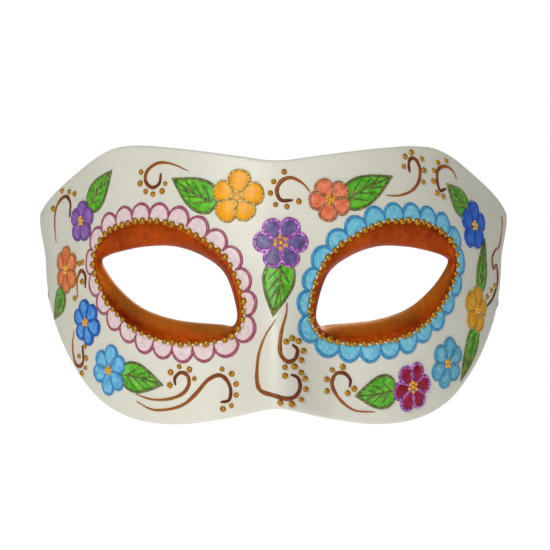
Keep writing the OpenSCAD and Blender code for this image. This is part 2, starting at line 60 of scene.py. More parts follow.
# the skin of the mask, in millimetres, as the CAD part has it
skinPlan = {
    "width": 168, "headDepth": 110, "wrap": 73, "dome": 0.2, "wall": 2.2,
    "noseTop": 24, "noseSink": 42, "noseRise": 14, "noseHalf": 14, "bridgeHalf": 8,
    "eyeIn": 11.2, "eyeOut": 74, "edge": 122,
    "flare": 2.8, "flareFrom": 84, "flareOver": 38, "flareLow": 7.75, "flareRise": 18,
    "turnStep": 0.5, "turnEnd": 80, "probe": 0.2,
}
headAcross = skinPlan["width"] / 2 / math.sin(math.radians(skinPlan["wrap"]))
arcAngles = [i * skinPlan["turnStep"] for i in range(round(skinPlan["turnEnd"] / skinPlan["turnStep"]) + 1)]
arcLengths = [0]
for a, b in zip(arcAngles, arcAngles[1:]):
    a, b = math.radians(a), math.radians(b)
    arcLengths.append(arcLengths[-1] + math.hypot(
        headAcross * (math.sin(b) - math.sin(a)), skinPlan["headDepth"] * (math.cos(a) - math.cos(b))))


def lookUp(value, froms, tos):
    i = min(max(bisect_right(froms, value), 1), len(froms) - 1)
    share = (value - froms[i - 1]) / (froms[i] - froms[i - 1])
    return tos[i - 1] + share * (tos[i] - tos[i - 1])


halfArc = lookUp(skinPlan["wrap"], arcAngles, arcLengths)
stencilMarks = [0, skinPlan["eyeIn"], skinPlan["eyeOut"], skinPlan["edge"]]
skinMarks = [0, skinPlan["eyeIn"], skinPlan["eyeOut"], halfArc]


def ramp(value):
    value = min(max(value, 0), 1)
    return value * value * (3 - 2 * value)


def skinAt(u, z):
    turn = math.radians(lookUp(abs(u), arcLengths, arcAngles))
    fall = 1 - skinPlan["dome"] * (z / 100) ** 2
    down = min(max((skinPlan["noseTop"] - z) / (skinPlan["noseTop"] + skinPlan["noseSink"]), 0), 1)
    half = skinPlan["bridgeHalf"] + (skinPlan["noseHalf"] - skinPlan["bridgeHalf"]) * down
    rise = skinPlan["noseRise"] * ramp(down) * math.exp(-(u / half) ** 2)
    flare = skinPlan["flare"] * ramp((abs(u) - skinPlan["flareFrom"]) / skinPlan["flareOver"])
    flare *= ramp((z - skinPlan["flareLow"]) / skinPlan["flareRise"])
    return Vector((math.copysign(headAcross * math.sin(turn) * fall + flare, u),
                   skinPlan["headDepth"] * (1 - math.cos(turn) * fall) - rise, z))


def facing(u, z):
    step = skinPlan["probe"]
    across = skinAt(u + step, z) - skinAt(u - step, z)
    upward = skinAt(u, z + step) - skinAt(u, z - step)
    return across.cross(upward).normalized()


def seatAt(u, z, lift):  # stencil place and height over the skin to a point, all in mm
    u = math.copysign(lookUp(abs(u), stencilMarks, skinMarks), u)
    return skinAt(u, z) + lift * facing(u, z)


# curves in the stencil plane
def throughPoints(a, b, c, d, t):
    return 0.5 * (2 * b + (c - a) * t + (2 * a - 5 * b + 4 * c - d) * t * t
                  + (3 * b - a - 3 * c + d) * t ** 3)


def curveSpans(points, steps):  # from the second point to the last but one
    points = [Vector(p) for p in points]
    return [throughPoints(*points[i:i + 4], k / steps) for i in range(len(points) - 3) for k in range(steps)]


def closedCurve(points, steps):
    return curveSpans([points[-1], *points, *points[:2]], steps)


def openCurve(points, steps):
    points = [Vector(p) for p in points]
    points = [2 * points[0] - points[1]] + points + [2 * points[-1] - points[-2]]
    return curveSpans(points, steps) + [points[-2]]


def leftOf(direction):
    return Vector((-direction.y, direction.x)).normalized()


def flipLoop(loop):  # the left side's loops are the right side's, mirrored and still clockwise
    return [Vector((-p.x, p.y)) for p in reversed(loop)]


def widen(loop, by):
    return [p + by * leftOf(loop[(i + 1) % len(loop)] - loop[i - 1]) for i, p in enumerate(loop)]


# modelling helpers: pieces are modelled flat on the stencil as (u, z, lift), then laid on the skin
paintSink = 0.2  # how far paint reaches into the skin
weld = 1e-4
strokePlan = {
    "section": [(-1, -1), (-0.82, 0.45), (-0.4, 0.93), (0.4, 0.93), (0.82, 0.45), (1, -1)],
    "fattenIn": 2.4, "fattenOut": 3, "tipOver": 14, "tipOff": 0.02, "leastWide": 0.05, "highWobble": 1.6,
}
padPlan = {"wall": 0.45, "shoulders": [(0.3, 0.36), (0.7, 0.19)]}


def joinInto(bm, part, paint=0):
    bmesh.ops.recalc_face_normals(part, faces=part.faces)
    for face in part.faces:
        face.material_index = paint
    spare = bpy.data.meshes.new("spare")
    part.to_mesh(spare)
    part.free()
    bm.from_mesh(spare)
    bpy.data.meshes.remove(spare)


def drawAlong(bm, rows, closed=False, paint=0, loads=None):
    part = bmesh.new()
    load = part.verts.layers.float.new("load") if loads else None
    first = end = part.faces.new([part.verts.new(place) for place in rows[0]])
    for i, row in enumerate(rows):
        if i:
            grown = bmesh.ops.extrude_face_region(part, geom=[end])["geom"]
            if end is not first:
                bmesh.ops.delete(part, geom=[end], context="FACES_ONLY")
            end = next(face for face in grown if isinstance(face, bmesh.types.BMFace))
        for vert, place in zip(end.verts, row):
            vert.co = place
            if loads:
                vert[load] = loads[i]
    if closed:
        rims = list(first.edges) + list(end.edges)
        bmesh.ops.delete(part, geom=[first, end], context="FACES_ONLY")
        bmesh.ops.bridge_loops(part, edges=rims)
    joinInto(bm, part, paint)


def shapeGrid(bm, columns, rows, placeAt, sizeUv=None):
    part = bmesh.new()
    made = bmesh.ops.create_grid(part, x_segments=columns, y_segments=rows, size=1)["verts"]
    if sizeUv:
        weave = part.loops.layers.uv.new("weave")
        for face in part.faces:
            for loop in face.loops:
                loop[weave].uv = ((loop.vert.co.x + 1) / 2 * sizeUv[0], (loop.vert.co.y + 1) / 2 * sizeUv[1])
    for vert in made:
        vert.co = placeAt((vert.co.x + 1) / 2, (vert.co.y + 1) / 2)
    bmesh.ops.remove_doubles(part, verts=made, dist=weld)
    joinInto(bm, part)


def strokeRows(path, widthAt, highAt, closed=False):
    rows, last = [], len(path) - 1
    for i, place in enumerate(path):
        ahead = path[(i + 1) % len(path)] if closed else path[min(i + 1, last)]
        behind = path[i - 1] if closed else path[max(i - 1, 0)]
        left = leftOf(ahead - behind)
        share = i / max(last, 1)
        half, high = widthAt(share) / 2, highAt(share)
        rows.append([(place.x - side * half * left.x, place.y - side * half * left.y,
                      high * level if level > 0 else -paintSink) for side, level in strokePlan["section"]])
    return rows


def brush(bm, path, width, high, paint=0, closed=False, thinStart=1.0, thinEnd=1.0, wobble=0.08,
          loaded=False):
    seed = dice.random() * 50

    def widthAt(share):
        ease = tip = 1
        if not closed:
            ease = min(thinStart + (1 - thinStart) * share * strokePlan["fattenIn"], 1,
                       thinEnd + (1 - thinEnd) * (1 - share) * strokePlan["fattenOut"])
            tip = min(1, (share + strokePlan["tipOff"]) * strokePlan["tipOver"],
                      (1 + strokePlan["tipOff"] - share) * strokePlan["tipOver"]) ** 0.5
        ripple = wobble * noise.noise((seed, share * len(path) / 4, 0))
        return width * max(ease, strokePlan["leastWide"]) * tip * (1 + ripple)

    def highAt(share):
        ripple = wobble * noise.noise((seed + 9, share * len(path) / 5, 0))
        return high * (1 + strokePlan["highWobble"] * ripple)

    loads = [i / (len(path) - 1) for i in range(len(path))] if loaded else None
    drawAlong(bm, strokeRows(path, widthAt, highAt, closed), closed, paint, loads)


def padOn(bm, outline, high, shoulder):
    part = bmesh.new()
    base = part.faces.new([part.verts.new((p.x, p.y, -paintSink)) for p in outline])
    base.normal_update()
    if base.normal.z < 0:
        base.normal_flip()
    grown = bmesh.ops.extrude_face_region(part, geom=[base])["geom"]
    top = next(face for face in grown if isinstance(face, bmesh.types.BMFace))
    for vert in top.verts:
        vert.co.z = padPlan["wall"] * high
    for inward, up in padPlan["shoulders"]:
        bmesh.ops.inset_individual(part, faces=[top], thickness=shoulder * inward)
        for vert in top.verts:
            vert.co.z += high * up
    for vert in bmesh.ops.poke(part, faces=[top])["verts"]:
        vert.co.z = high
    joinInto(bm, part)


def dropOn(bm, place, size, high, paint=0, stretch=1.0, angle=0.0):
    part = bmesh.new()
    bmesh.ops.create_uvsphere(part, u_segments=10, v_segments=6, radius=1)
    bmesh.ops.scale(part, vec=(size / 2 * stretch, size / 2, high), verts=part.verts)
    bmesh.ops.rotate(part, cent=(0, 0, 0), matrix=Matrix.Rotation(angle, 3, "Z"), verts=part.verts)
    bmesh.ops.translate(part, vec=(place[0], place[1], 0), verts=part.verts)
    joinInto(bm, part, paint)


def nodeNamed(name):  # a piece's name as the CAD spells it
    return "".join("_" + letter.lower() if letter.isupper() else letter for letter in name)


def finishPiece(name, bm, materials, node="", onSkin=True):
    if onSkin:
        for vert in bm.verts:
            vert.co = seatAt(*vert.co)
    bmesh.ops.scale(bm, vec=(0.001, 0.001, 0.001), verts=bm.verts)  # modelled in mm, kept in metres
    for face in bm.faces:
        face.smooth = True
    mesh = bpy.data.meshes.new(name)
    bm.to_mesh(mesh)
    bm.free()
    for material in materials:
        mesh.materials.append(material)
    piece = bpy.data.objects.new(name, mesh)
    bpy.context.collection.objects.link(piece)
    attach(piece, "root")
    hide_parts(node or nodeNamed(name))
    return piece


def addModifier(piece, kind, **settings):
    modifier = piece.modifiers.new(kind.title(), kind)
    for name, value in settings.items():
        setattr(modifier, name, value)


# materials
def hexLinear(code):
    parts = [int(code[i:i + 2], 16) / 255 for i in (1, 3, 5)]
    return [c / 12.92 if c <= 0.04045 else ((c + 0.055) / 1.055) ** 2.4 for c in parts] + [1]


def perMm(size):  # a pattern whose features are this many mm across, as a scale on coordinates in metres
    return 1000 / size


def addNode(material, kind, settings=None, links=None):
    node = material.node_tree.nodes.new("ShaderNode" + kind)
    for name, value in (settings or {}).items():
        if name == "ramp":
            for i, (spot, colour) in enumerate(value):
                stop = node.color_ramp.elements[i] if i < 2 else node.color_ramp.elements.new(spot)
                stop.position = spot
                stop.color = colour
        elif isinstance(name, int) or name in node.inputs:
            node.inputs[name].default_value = value
        else:
            setattr(node, name, value)
    for name, (source, output) in (links or {}).items():
        material.node_tree.links.new(source.outputs[output], node.inputs[name])
    return node


def startMaterial(name):
    material = bpy.data.materials.new(name)
    material.use_nodes = True
    material.node_tree.nodes.clear()
    return material, addNode(material, "TexCoord")


def endMaterial(material, settings, links):
    shader = addNode(material, "BsdfPrincipled", settings, links)
    addNode(material, "OutputMaterial", None, {"Surface": (shader, "BSDF")})
    return material


def addNoise(material, source, size, detail, rough=0.5, output="Object"):
    return addNode(material, "TexNoise", {"Scale": perMm(size), "Detail": detail, "Roughness": rough},
                   {"Vector": (source, output)})


def addCells(material, place, size, settings=None):
    return addNode(material, "TexVoronoi", {"Scale": perMm(size), **(settings or {})},
                   {"Vector": (place, "Object")})


def addUp(material, first, times, second):
    return addNode(material, "Math", {"operation": "MULTIPLY_ADD", 1: times}, {0: first, 2: second})


def addBump(material, height, strength, relief):  # relief in mm
    return addNode(material, "Bump", {"Strength": strength, "Distance": relief / 1000}, {"Height": height})


def blendColours(material, factor, dark, light, output="Fac"):
    return addNode(material, "Mix", {"data_type": "RGBA", 6: hexLinear(dark), 7: hexLinear(light)},
                   {0: (factor, output)})


def coverColour(material, factor, under, colour):
    return addNode(material, "Mix", {"data_type": "RGBA", 7: hexLinear(colour)}, {0: factor, 6: (under, 2)})


def brushedPaint(name, dark, light, grain=2.0, rough=0.36, coat=0.12):
    # acrylic enamel put on with a small brush: mottled where it lies thicker, with faint ridges
    material, place = startMaterial(name)
    mottle = addNoise(material, place, grain, 4, 0.6)
    spread = addNode(material, "ValToRGB", {"ramp": [(0.36, (0, 0, 0, 1)), (0.66, (1, 1, 1, 1))]},
                     {"Fac": (mottle, "Fac")})
    colour = blendColours(material, spread, dark, light, "Color")
    ridges = addNoise(material, place, 0.5, 2)
    bump = addBump(material, (ridges, "Fac"), 0.5, 0.06)
    return endMaterial(material, {"Roughness": rough, "Coat Weight": coat, "Coat Roughness": 0.15,
                                  "IOR": 1.3},
                       {"Base Color": (colour, 2), "Normal": (bump, "Normal")})


def glitterLiner(name, dark, light, spark):
    # dimensional liner squeezed from a tube, with fine glitter in it
    material, place = startMaterial(name)
    mottle = addNoise(material, place, 1.2, 3)
    colour = blendColours(material, mottle, dark, light)
    flakes = addCells(material, place, 0.45)
    sizes = addNode(material, "SeparateColor", None, {"Color": (flakes, "Color")})
    bright = addNode(material, "Math", {"operation": "GREATER_THAN", 1: 0.72}, {0: (sizes, "Red")})
    glitter = coverColour(material, (bright, "Value"), colour, spark)
    bump = addBump(material, (flakes, "Distance"), 0.6, 0.12)
    return endMaterial(material, {"Roughness": 0.35, "Coat Weight": 0.3, "Coat Roughness": 0.12, "IOR": 1.5},
                       {"Base Color": (glitter, 2), "Normal": (bump, "Normal")})


def paintedGesso():
    # papier-mache primed with gesso and brushed with satin white: soft sheen, faint brush lines and hollows
    material, place = startMaterial("paintedGesso")
    cloud = addNoise(material, place, 34, 3)
    colour = blendColours(material, cloud, "#dcdac8", "#ebe8d8")
    turned = addNode(material, "Mapping", {"Rotation": (0, 0.3, 0), "Scale": (1, 1, 9)},
                     {"Vector": (place, "Object")})
    lines = addNoise(material, turned, 7, 5, 0.55, "Vector")
    pits = addNoise(material, place, 9, 4)
    height = addNode(material, "Math", {"operation": "ADD"}, {0: (lines, "Fac"), 1: (pits, "Fac")})
    bump = addBump(material, (height, "Value"), 0.35, 0.35)
    shine = addNode(material, "MapRange", {"To Min": 0.38, "To Max": 0.5}, {"Value": (lines, "Fac")})
    return endMaterial(material, {"Coat Weight": 0.12, "Coat Roughness": 0.25, "IOR": 1.5},
                       {"Base Color": (colour, 2), "Roughness": (shine, "Result"),
                        "Normal": (bump, "Normal")})


def rawPaper(name, dark, light):
    # torn strips of pulp paper pasted in layers: matt, with overlapping edges and fibres
    material, place = startMaterial(name)
    strips = addCells(material, place, 19, {"Randomness": 0.9})
    fibres = addNoise(material, place, 1.1, 6, 0.7)
    tone = addNode(material, "SeparateColor", None, {"Color": (strips, "Color")})
    mean = addNode(material, "Math", {"operation": "MULTIPLY_ADD", 1: 0.6, 2: 0.1}, {0: (tone, "Red")})
    sums = addUp(material, (fibres, "Fac"), 0.45, (mean, "Value"))
    colour = blendColours(material, sums, dark, light, "Value")
    bump = addBump(material, (sums, "Value"), 0.7, 0.6)
    return endMaterial(material, {"Roughness": 0.85, "IOR": 1.45},
                       {"Base Color": (colour, 2), "Normal": (bump, "Normal")})


def copperPaint():
    # copper pearl paint, brushed from the bead row back into the hole: streaks, a soft metal sheen, and a
    # painted highlight of golden grains on whatever faces up, standing in for light falling from above
    material, place = startMaterial("copperPaint")
    stretched = addNode(material, "Mapping", {"Scale": (1, 0.22, 1)}, {"Vector": (place, "Object")})
    streaks = addNoise(material, stretched, 1.6, 5, 0.62, "Vector")
    patches = addNoise(material, place, 14, 2)
    both = addUp(material, (streaks, "Fac"), 0.55, (patches, "Fac"))
    spread = addNode(material, "MapRange", {"From Min": 0.52, "From Max": 1.0}, {"Value": (both, "Value")})
    body = blendColours(material, spread, "#7e1e00", "#c65200", "Result")
    # painted highlight: the more a face points up, the more golden grains it gets, as if lit from above
    facets = addNode(material, "NewGeometry")
    split = addNode(material, "SeparateXYZ", None, {"Vector": (facets, "Normal")})
    upturned = addNode(material, "MapRange", {"From Min": 0.25, "From Max": 1.0, "To Max": 0.85},
                       {"Value": (split, "Z")})
    grains = addNoise(material, place, 0.6, 3)
    upturnedPaintedHighlight = addNode(material, "Math", {"operation": "MULTIPLY"},
                      {0: (upturned, "Result"), 1: (grains, "Fac")})
    colour = coverColour(material, (upturnedPaintedHighlight, "Value"), body, "#f0ac38")
    bump = addBump(material, (streaks, "Fac"), 0.5, 0.12)
    return endMaterial(material, {"Roughness": 0.46, "Metallic": 0.4, "IOR": 1.2},
                       {"Base Color": (colour, 2), "Normal": (bump, "Normal")})


def goldPaint():
    # gold pearl liner in drops: warm metal sheen over an ochre body, browner in the creases
    material, place = startMaterial("goldPaint")
    mottle = addNoise(material, place, 1.1, 4)
    colour = blendColours(material, mottle, "#7a5200", "#dc9c14")
    bump = addBump(material, (mottle, "Fac"), 0.4, 0.1)
    return endMaterial(material, {"Roughness": 0.32, "Metallic": 0.6,
                                  "Coat Weight": 0.15, "Coat Roughness": 0.1},
                       {"Base Color": (colour, 2), "Normal": (bump, "Normal")})


def scrollPaint():
    # thin copper-brown acrylic from a liner brush: it fades where the brush ran dry
    material, place = startMaterial("scrollPaint")
    run = addNode(material, "Attribute", {"attribute_name": "load"})
    mottle = addNoise(material, place, 1.4, 4)
    both = addUp(material, (mottle, "Fac"), 0.7, (run, "Fac"))
    spread = addNode(material, "MapRange", {"From Min": 0.2, "From Max": 1.3}, {"Value": (both, "Value")})
    colour = blendColours(material, spread, "#b96f28", "#662000", "Result")
    bump = addBump(material, (mottle, "Fac"), 0.4, 0.06)
    return endMaterial(material, {"Roughness": 0.42, "Metallic": 0.2, "IOR": 1.4},
                       {"Base Color": (colour, 2), "Normal": (bump, "Normal")})


def satinRibbon():
    # woven polyester satin, black: long floats along the ribbon give it a streaked sheen
    material, place = startMaterial("satinRibbon")
    threads = addNode(material, "Mapping", {"Scale": (0.02, 1, 1)}, {"Vector": (place, "UV")})
    floats = addNode(material, "TexNoise", {"Scale": 26, "Detail": 3}, {"Vector": (threads, "Vector")})
    ribs = addNode(material, "TexWave", {"Scale": 4.2, "Distortion": 0.3}, {"Vector": (place, "UV")})
    colour = blendColours(material, floats, "#08080a", "#26262b")
    height = addUp(material, (ribs, "Fac"), 0.4, (floats, "Fac"))
    bump = addBump(material, (height, "Value"), 0.3, 0.1)
    return endMaterial(material, {"Roughness": 0.42, "Sheen Weight": 0.35, "Sheen Roughness": 0.4,
                                  "Anisotropic": 0.5, "IOR": 1.5},
                       {"Base Color": (colour, 2), "Normal": (bump, "Normal")})


gesso = paintedGesso()
paper = rawPaper("pastedPaper", "#c8c2b2", "#ded9ca")
patchPaper = rawPaper("patchPaper", "#a99f88", "#d8d0bc")
copper = copperPaint()
gold = goldPaint()
scrollBrown = scrollPaint()
satin = satinRibbon()
leafGreen = brushedPaint("leafGreenEnamel", "#3c9c14", "#78d43a", 2.6)
leafLiner = glitterLiner("leafBronzeLiner", "#27520f", "#5d6a1a", "#8c8a3a")
paleGold = brushedPaint("paleGoldDrops", "#e0a838", "#ffe2a0", 0.9, 0.28, 0.4)
warmGold = brushedPaint("warmGoldDrops", "#d8921c", "#f6c044", 0.9, 0.28, 0.4)
print("materials made")


# ribbons: flat satin ties, glued inside the temples and tied in a bow behind
ribbonPlan = {
    "width": 9.5, "thick": 0.5, "glueFrom": 87, "glueTo": 117, "glueStep": 5, "glueLift": 0.175,
    "leftHeight": 1, "rightHeight": -3, "settle": 8, "pinchTo": 0.55, "pinchOver": 16, "length": 0.38,
    "exitAt": 108, "steps": 5, "cup": 0.5, "cupLevel": 0.4, "weave": (10, 5),
    "run": [
        (82, 79, 0), (83, 86, -0.5), (82, 93.5, -3), (76.4, 100.5, -7), (64.6, 104, -13),
        (50, 105, -19), (35, 105, -24), (20, 105.5, -27.5), (8, 107, -29.5), (1.5, 108.5, -30.5),
        (2, 110, -31), (10, 109.8, -32.5), (22, 111, -34.5), (38, 112, -37), (52, 114.5, -38.5),
        (57, 119.5, -39.5), (52, 124.5, -39), (38, 127, -37), (22, 125, -35), (10, 119, -33), (1.5, 114, -31),
        (2, 112.5, -32), (10, 113.3, -34), (22, 115.8, -36.5), (33, 117, -38.5),
        (37.5, 119.3, -39), (33, 121.6, -38.5), (22, 121, -37), (10, 116.2, -35), (1.5, 112.5, -33.5),
        (2, 111, -35), (9, 110.5, -40.5), (20, 111.5, -43.5), (31, 112.5, -44.5)],
}


def ribbonRoute(side, height):
    wall = skinPlan["wall"] + ribbonPlan["glueLift"]
    glued = [seatAt(side * u, height, -wall)
             for u in range(ribbonPlan["glueFrom"], ribbonPlan["glueTo"] + 1, ribbonPlan["glueStep"])]
    hanging = [Vector((side * x, y, z + height * max(0, 1 - i / ribbonPlan["settle"])))
               for i, (x, y, z) in enumerate(ribbonPlan["run"])]
    return openCurve(glued + hanging, ribbonPlan["steps"])


def makeRibbon(name, side, height):
    route = ribbonRoute(side, height)
    last = len(route) - 1
    run = [0]
    for a, b in zip(route, route[1:]):
        run.append(run[-1] + (b - a).length)
    section = [(-1, 0), (-0.9, 1), (-0.45, 0.8), (0, 0.75), (0.45, 0.8), (0.9, 1),
               (1, 0), (0.9, -1), (0.45, -0.8), (0, -0.75), (-0.45, -0.8), (-0.9, -1)]

    def placeAt(share, around):
        i = round(share * last)
        along = (route[min(i + 1, last)] - route[max(i - 1, 0)]).normalized()
        up = (Vector((0, 0, 1)) - along.z * along).normalized()
        flat = along.cross(up)
        ease = ramp(abs(route[i].x) / ribbonPlan["pinchOver"])
        half = ribbonPlan["width"] / 2 * (ribbonPlan["pinchTo"] + (1 - ribbonPlan["pinchTo"]) * ease)
        over, through = section[round(around * len(section)) % len(section)]
        cup = ribbonPlan["cup"] * (1 - ease) * (over * over - ribbonPlan["cupLevel"])
        return route[i] + up * half * over + flat * (through * ribbonPlan["thick"] / 2 + cup)

    bm = bmesh.new()
    weaveLong, weaveWide = ribbonPlan["weave"]
    shapeGrid(bm, last, len(section), placeAt, (run[-1] / weaveLong, ribbonPlan["width"] / weaveWide))
    bmesh.ops.holes_fill(bm, edges=[edge for edge in bm.edges if edge.is_boundary], sides=0)
    piece = finishPiece(name, bm, [satin], onSkin=False)
    exitPoint = seatAt(side * ribbonPlan["exitAt"], height, -skinPlan["wall"]) * 0.001
    [tuple(p * 0.001) for p in route[::2]]
    print(name, "length", round(run[-1], 1), "mm")


knotPlan = {
    "place": (0, 111.2, -32), "radius": 5.76, "long": 12.6, "folds": 5, "foldDeep": 0.35, "twist": 1.3,
    "columns": 36, "around": 40, "weave": (1.2, 4),
}


def makeKnot():
    middle = Vector(knotPlan["place"])

    def placeAt(share, around):
        turn = around * 2 * math.pi
        along = share * 2 - 1
        belly = (1 - abs(along) ** 5) ** 0.5 * (0.8 + 0.2 * math.cos(along * 1.5))
        fold = math.sin(knotPlan["folds"] * along * 3 + knotPlan["twist"] * math.sin(turn))
        radius = max(0, belly * (knotPlan["radius"] + knotPlan["foldDeep"] * fold))
        return middle + Vector((along * knotPlan["long"] / 2, radius * math.cos(turn),
                                radius * math.sin(turn) * 0.97))

    bm = bmesh.new()
    shapeGrid(bm, knotPlan["columns"], knotPlan["around"], placeAt, knotPlan["weave"])
    return finishPiece("ribbonKnot", bm, [satin], onSkin=False)


knot = makeKnot()
makeRibbon("rightRibbon", 1, ribbonPlan["rightHeight"])
makeRibbon("leftRibbon", -1, ribbonPlan["leftHeight"])
print("ribbons tied")


# shell: one grid from each eye hole's cut edge out to the outline, mirrored, then given its wall
loopPlan = {
    "bead": [(25, 15.5), (37, 20.8), (50, 22), (62, 20), (71, 15), (74, 8.5), (71, 0.5),
             (62, -9), (50, -16), (35, -19.2), (21, -18.6), (13.3, -15), (11.2, -6), (16, 7.5)],
    "hole": [(25.5, 10), (36, 13.2), (48, 13.2), (58.5, 11.8), (66, 10.3), (69.3, 8.5), (66, 4.2),
             (58.5, -2), (48, -8), (34.5, -11.6), (19, -12.9), (14.5, -13.1), (13.5, -8), (17.4, 3.8)],
    "top": [(-13, 43.5), (0, 42), (13, 43.5), (27, 45.4), (41, 47), (53, 48), (64, 47.9), (73, 46.2),
            (84, 42.4), (97, 37), (110, 31.4), (122, 26), (134, 20.6)],
    "rear": [(123, 37), (122, 26), (121, 15), (118.5, 4), (111, -8)],
    "low": [(121, 15), (118.5, 4), (111.5, -8), (101, -19), (88, -30.5), (73, -40.5), (55, -46), (36, -47),
            (18, -44.4), (0, -40.3), (-18, -44.4)],
    "middle": (-40.3, 42), "beadIn": 1.2, "steps": 12,
}
beadLoop = closedCurve(loopPlan["bead"], loopPlan["steps"])
holeLoop = closedCurve(loopPlan["hole"], loopPlan["steps"])
cutLoop = widen(beadLoop, -loopPlan["beadIn"])
halfSteps = loopPlan["steps"] // 2
outline = [p for part in ("top", "rear", "low") for p in curveSpans(loopPlan[part], halfSteps)]
low, high = loopPlan["middle"]
middleCount = len(beadLoop) - len(outline)
outline += [Vector((0, low + (high - low) * i / middleCount)) for i in range(middleCount)]

shellPlan = {"rings": 14, "edgeRound": 0.8, "sharp": 50}
bm = bmesh.new()


def shellPlace(share, around):
    i = round(around * len(beadLoop)) % len(beadLoop)
    place = cutLoop[i].lerp(outline[i], share)
    return Vector((max(place.x, 0), place.y, 0))


shapeGrid(bm, shellPlan["rings"], len(beadLoop), shellPlace)
bmesh.ops.mirror(bm, geom=bm.verts[:] + bm.edges[:] + bm.faces[:], merge_dist=weld, axis="X")
bmesh.ops.remove_doubles(bm, verts=bm.verts, dist=weld)
bmesh.ops.recalc_face_normals(bm, faces=bm.faces)
if sum(face.normal.z for face in bm.faces) < 0:
    bmesh.ops.reverse_faces(bm, faces=bm.faces)
shell = finishPiece("maskShell", bm, [gesso, paper])
addModifier(shell, "SOLIDIFY", thickness=skinPlan["wall"] / 1000, offset=-1, use_even_offset=True,
            material_offset=1)
addModifier(shell, "BEVEL", width=shellPlan["edgeRound"] / 1000, segments=2, limit_method="ANGLE",
            angle_limit=math.radians(shellPlan["sharp"]), use_clamp_overlap=True)
addModifier(shell, "SUBSURF", levels=1, render_levels=1)
print("shell pressed")


# eye holes: the shell's edge turns back as a copper lip
rimPlan = {
    "drop": 7, "thick": 1.4, "front": 8, "back": 6, "flange": 1.5, "bury": -0.3, "proud": 0.14,
    "flangeTurn": 0.15, "flangeProud": 0.16, "tipOut": 0.9, "lipOut": 0.3, "lipRound": 0.8,
}


def makeRim(name, cut, hole, node):
    flange = widen(cut, rimPlan["flange"])

    def placeAt(share, around):
        i = round(around * len(cut)) % len(cut)
        start = seatAt(*cut[i], rimPlan["proud"])
        end = seatAt(*hole[i], 0) + Vector((0, rimPlan["drop"], 0))
        outward = Vector((start.x - end.x, 0, start.z - end.z)).normalized()
        rear = seatAt(*cut[i], -skinPlan["wall"])
        tip = end + rimPlan["tipOut"] * outward + Vector((0, rimPlan["thick"], 0))
        stop = round(share * (rimPlan["front"] + rimPlan["back"] + 4)) - 2
        if stop == -2:
            return seatAt(*flange[i], rimPlan["bury"])
        if stop == -1:
            return seatAt(*flange[i].lerp(cut[i], rimPlan["flangeTurn"]), rimPlan["flangeProud"])
        if stop <= rimPlan["front"]:
            a, b, ease = start, end, stop / rimPlan["front"] * math.pi / 2
        elif stop == rimPlan["front"] + 1:
            return end + rimPlan["lipOut"] * outward + Vector((0, rimPlan["thick"] * rimPlan["lipRound"], 0))
        elif stop < rimPlan["front"] + rimPlan["back"] + 2:
            a, b, ease = rear, tip, (1 - (stop - rimPlan["front"] - 2) / rimPlan["back"]) * math.pi / 2
        else:
            a, b, ease = start, end, 0
        return Vector((a.x + (b.x - a.x) * math.sin(ease), a.y + (b.y - a.y) * (1 - math.cos(ease)),
                       a.z + (b.z - a.z) * math.sin(ease)))

    bm = bmesh.new()
    shapeGrid(bm, rimPlan["front"] + rimPlan["back"] + 4, len(cut), placeAt)
    piece = finishPiece(name, bm, [copper], node, onSkin=False)
    addModifier(piece, "SUBSURF", levels=1, render_levels=1)


makeRim("rightRim", cutLoop, holeLoop, "right_eye_rim")
makeRim("leftRim", flipLoop(cutLoop), flipLoop(holeLoop), "left_eye_rim")
print("rims turned")


# bead rows
beadPlan = {"count": 52, "size": 2.3, "high": 1.05, "sizeSpread": 0.16, "shift": 0.3, "probe": 1.5}
beadSums = [0]
for i, place in enumerate(beadLoop):
    beadSums.append(beadSums[-1] + (beadLoop[(i + 1) % len(beadLoop)] - place).length)
beadTotal = beadSums[-1]


def alongBeads(s):
    s %= beadTotal
    i = min(bisect_right(beadSums, s), len(beadSums) - 1)
    share = (s - beadSums[i - 1]) / (beadSums[i] - beadSums[i - 1])
    return beadLoop[i - 1].lerp(beadLoop[i % len(beadLoop)], share)


def lieOfBeads(s):
    return (alongBeads(s + beadPlan["probe"]) - alongBeads(s - beadPlan["probe"])).normalized()


def offBeads(s, by):
    return alongBeads(s) + by * leftOf(lieOfBeads(s))


for name, side, node in (("leftBeads", -1, "left_eye_beads"), ("rightBeads", 1, "right_eye_beads")):
    bm = bmesh.new()
    for i in range(beadPlan["count"]):
        place = offBeads(beadTotal * i / beadPlan["count"] + dice.uniform(-1, 1) * beadPlan["shift"],
                         dice.uniform(-1, 1) * beadPlan["shift"])
        size = beadPlan["size"] * (1 + dice.uniform(-1, 1) * beadPlan["sizeSpread"])
        dropOn(bm, (side * place.x, place.y), size, beadPlan["high"] * size / beadPlan["size"],
               stretch=dice.uniform(0.98, 1.14), angle=dice.uniform(0, math.pi))
    finishPiece(name, bm, [gold], node)
print("beads dropped")


# petals round the eyes: thin enamel between brushed outlines
petalPlan = {
    "count": 22, "steps": 14, "root": 0.7, "long": 5.9, "side": 0.64, "valley": 0.27, "round": 0.46,
    "fillHigh": 0.3, "lineHigh": 0.5,
    "section": [(0, -1), (0, 0.8), (0.25, 0.95), (0.55, 1), (0.85, 0.9), (1, 0.7), (1, -1), (0, -1)],
    "left": {"fill": ("#e3c8c8", "#f0dcda"), "line": ("#8f4357", "#b36478"), "wide": 1.3,
             "slots": ("pink_enamel", "rose_liner")},
    "right": {"fill": ("#5cb6d2", "#8fd4e6"), "line": ("#2f7fae", "#4f9fc8"), "wide": 1.45,
              "slots": ("pale_blue_enamel", "steel_blue_liner")},
}
petalGrain = petalPlan["count"] * petalPlan["steps"]
petalSizes = [1 + dice.uniform(-0.06, 0.06) for i in range(petalPlan["count"])]


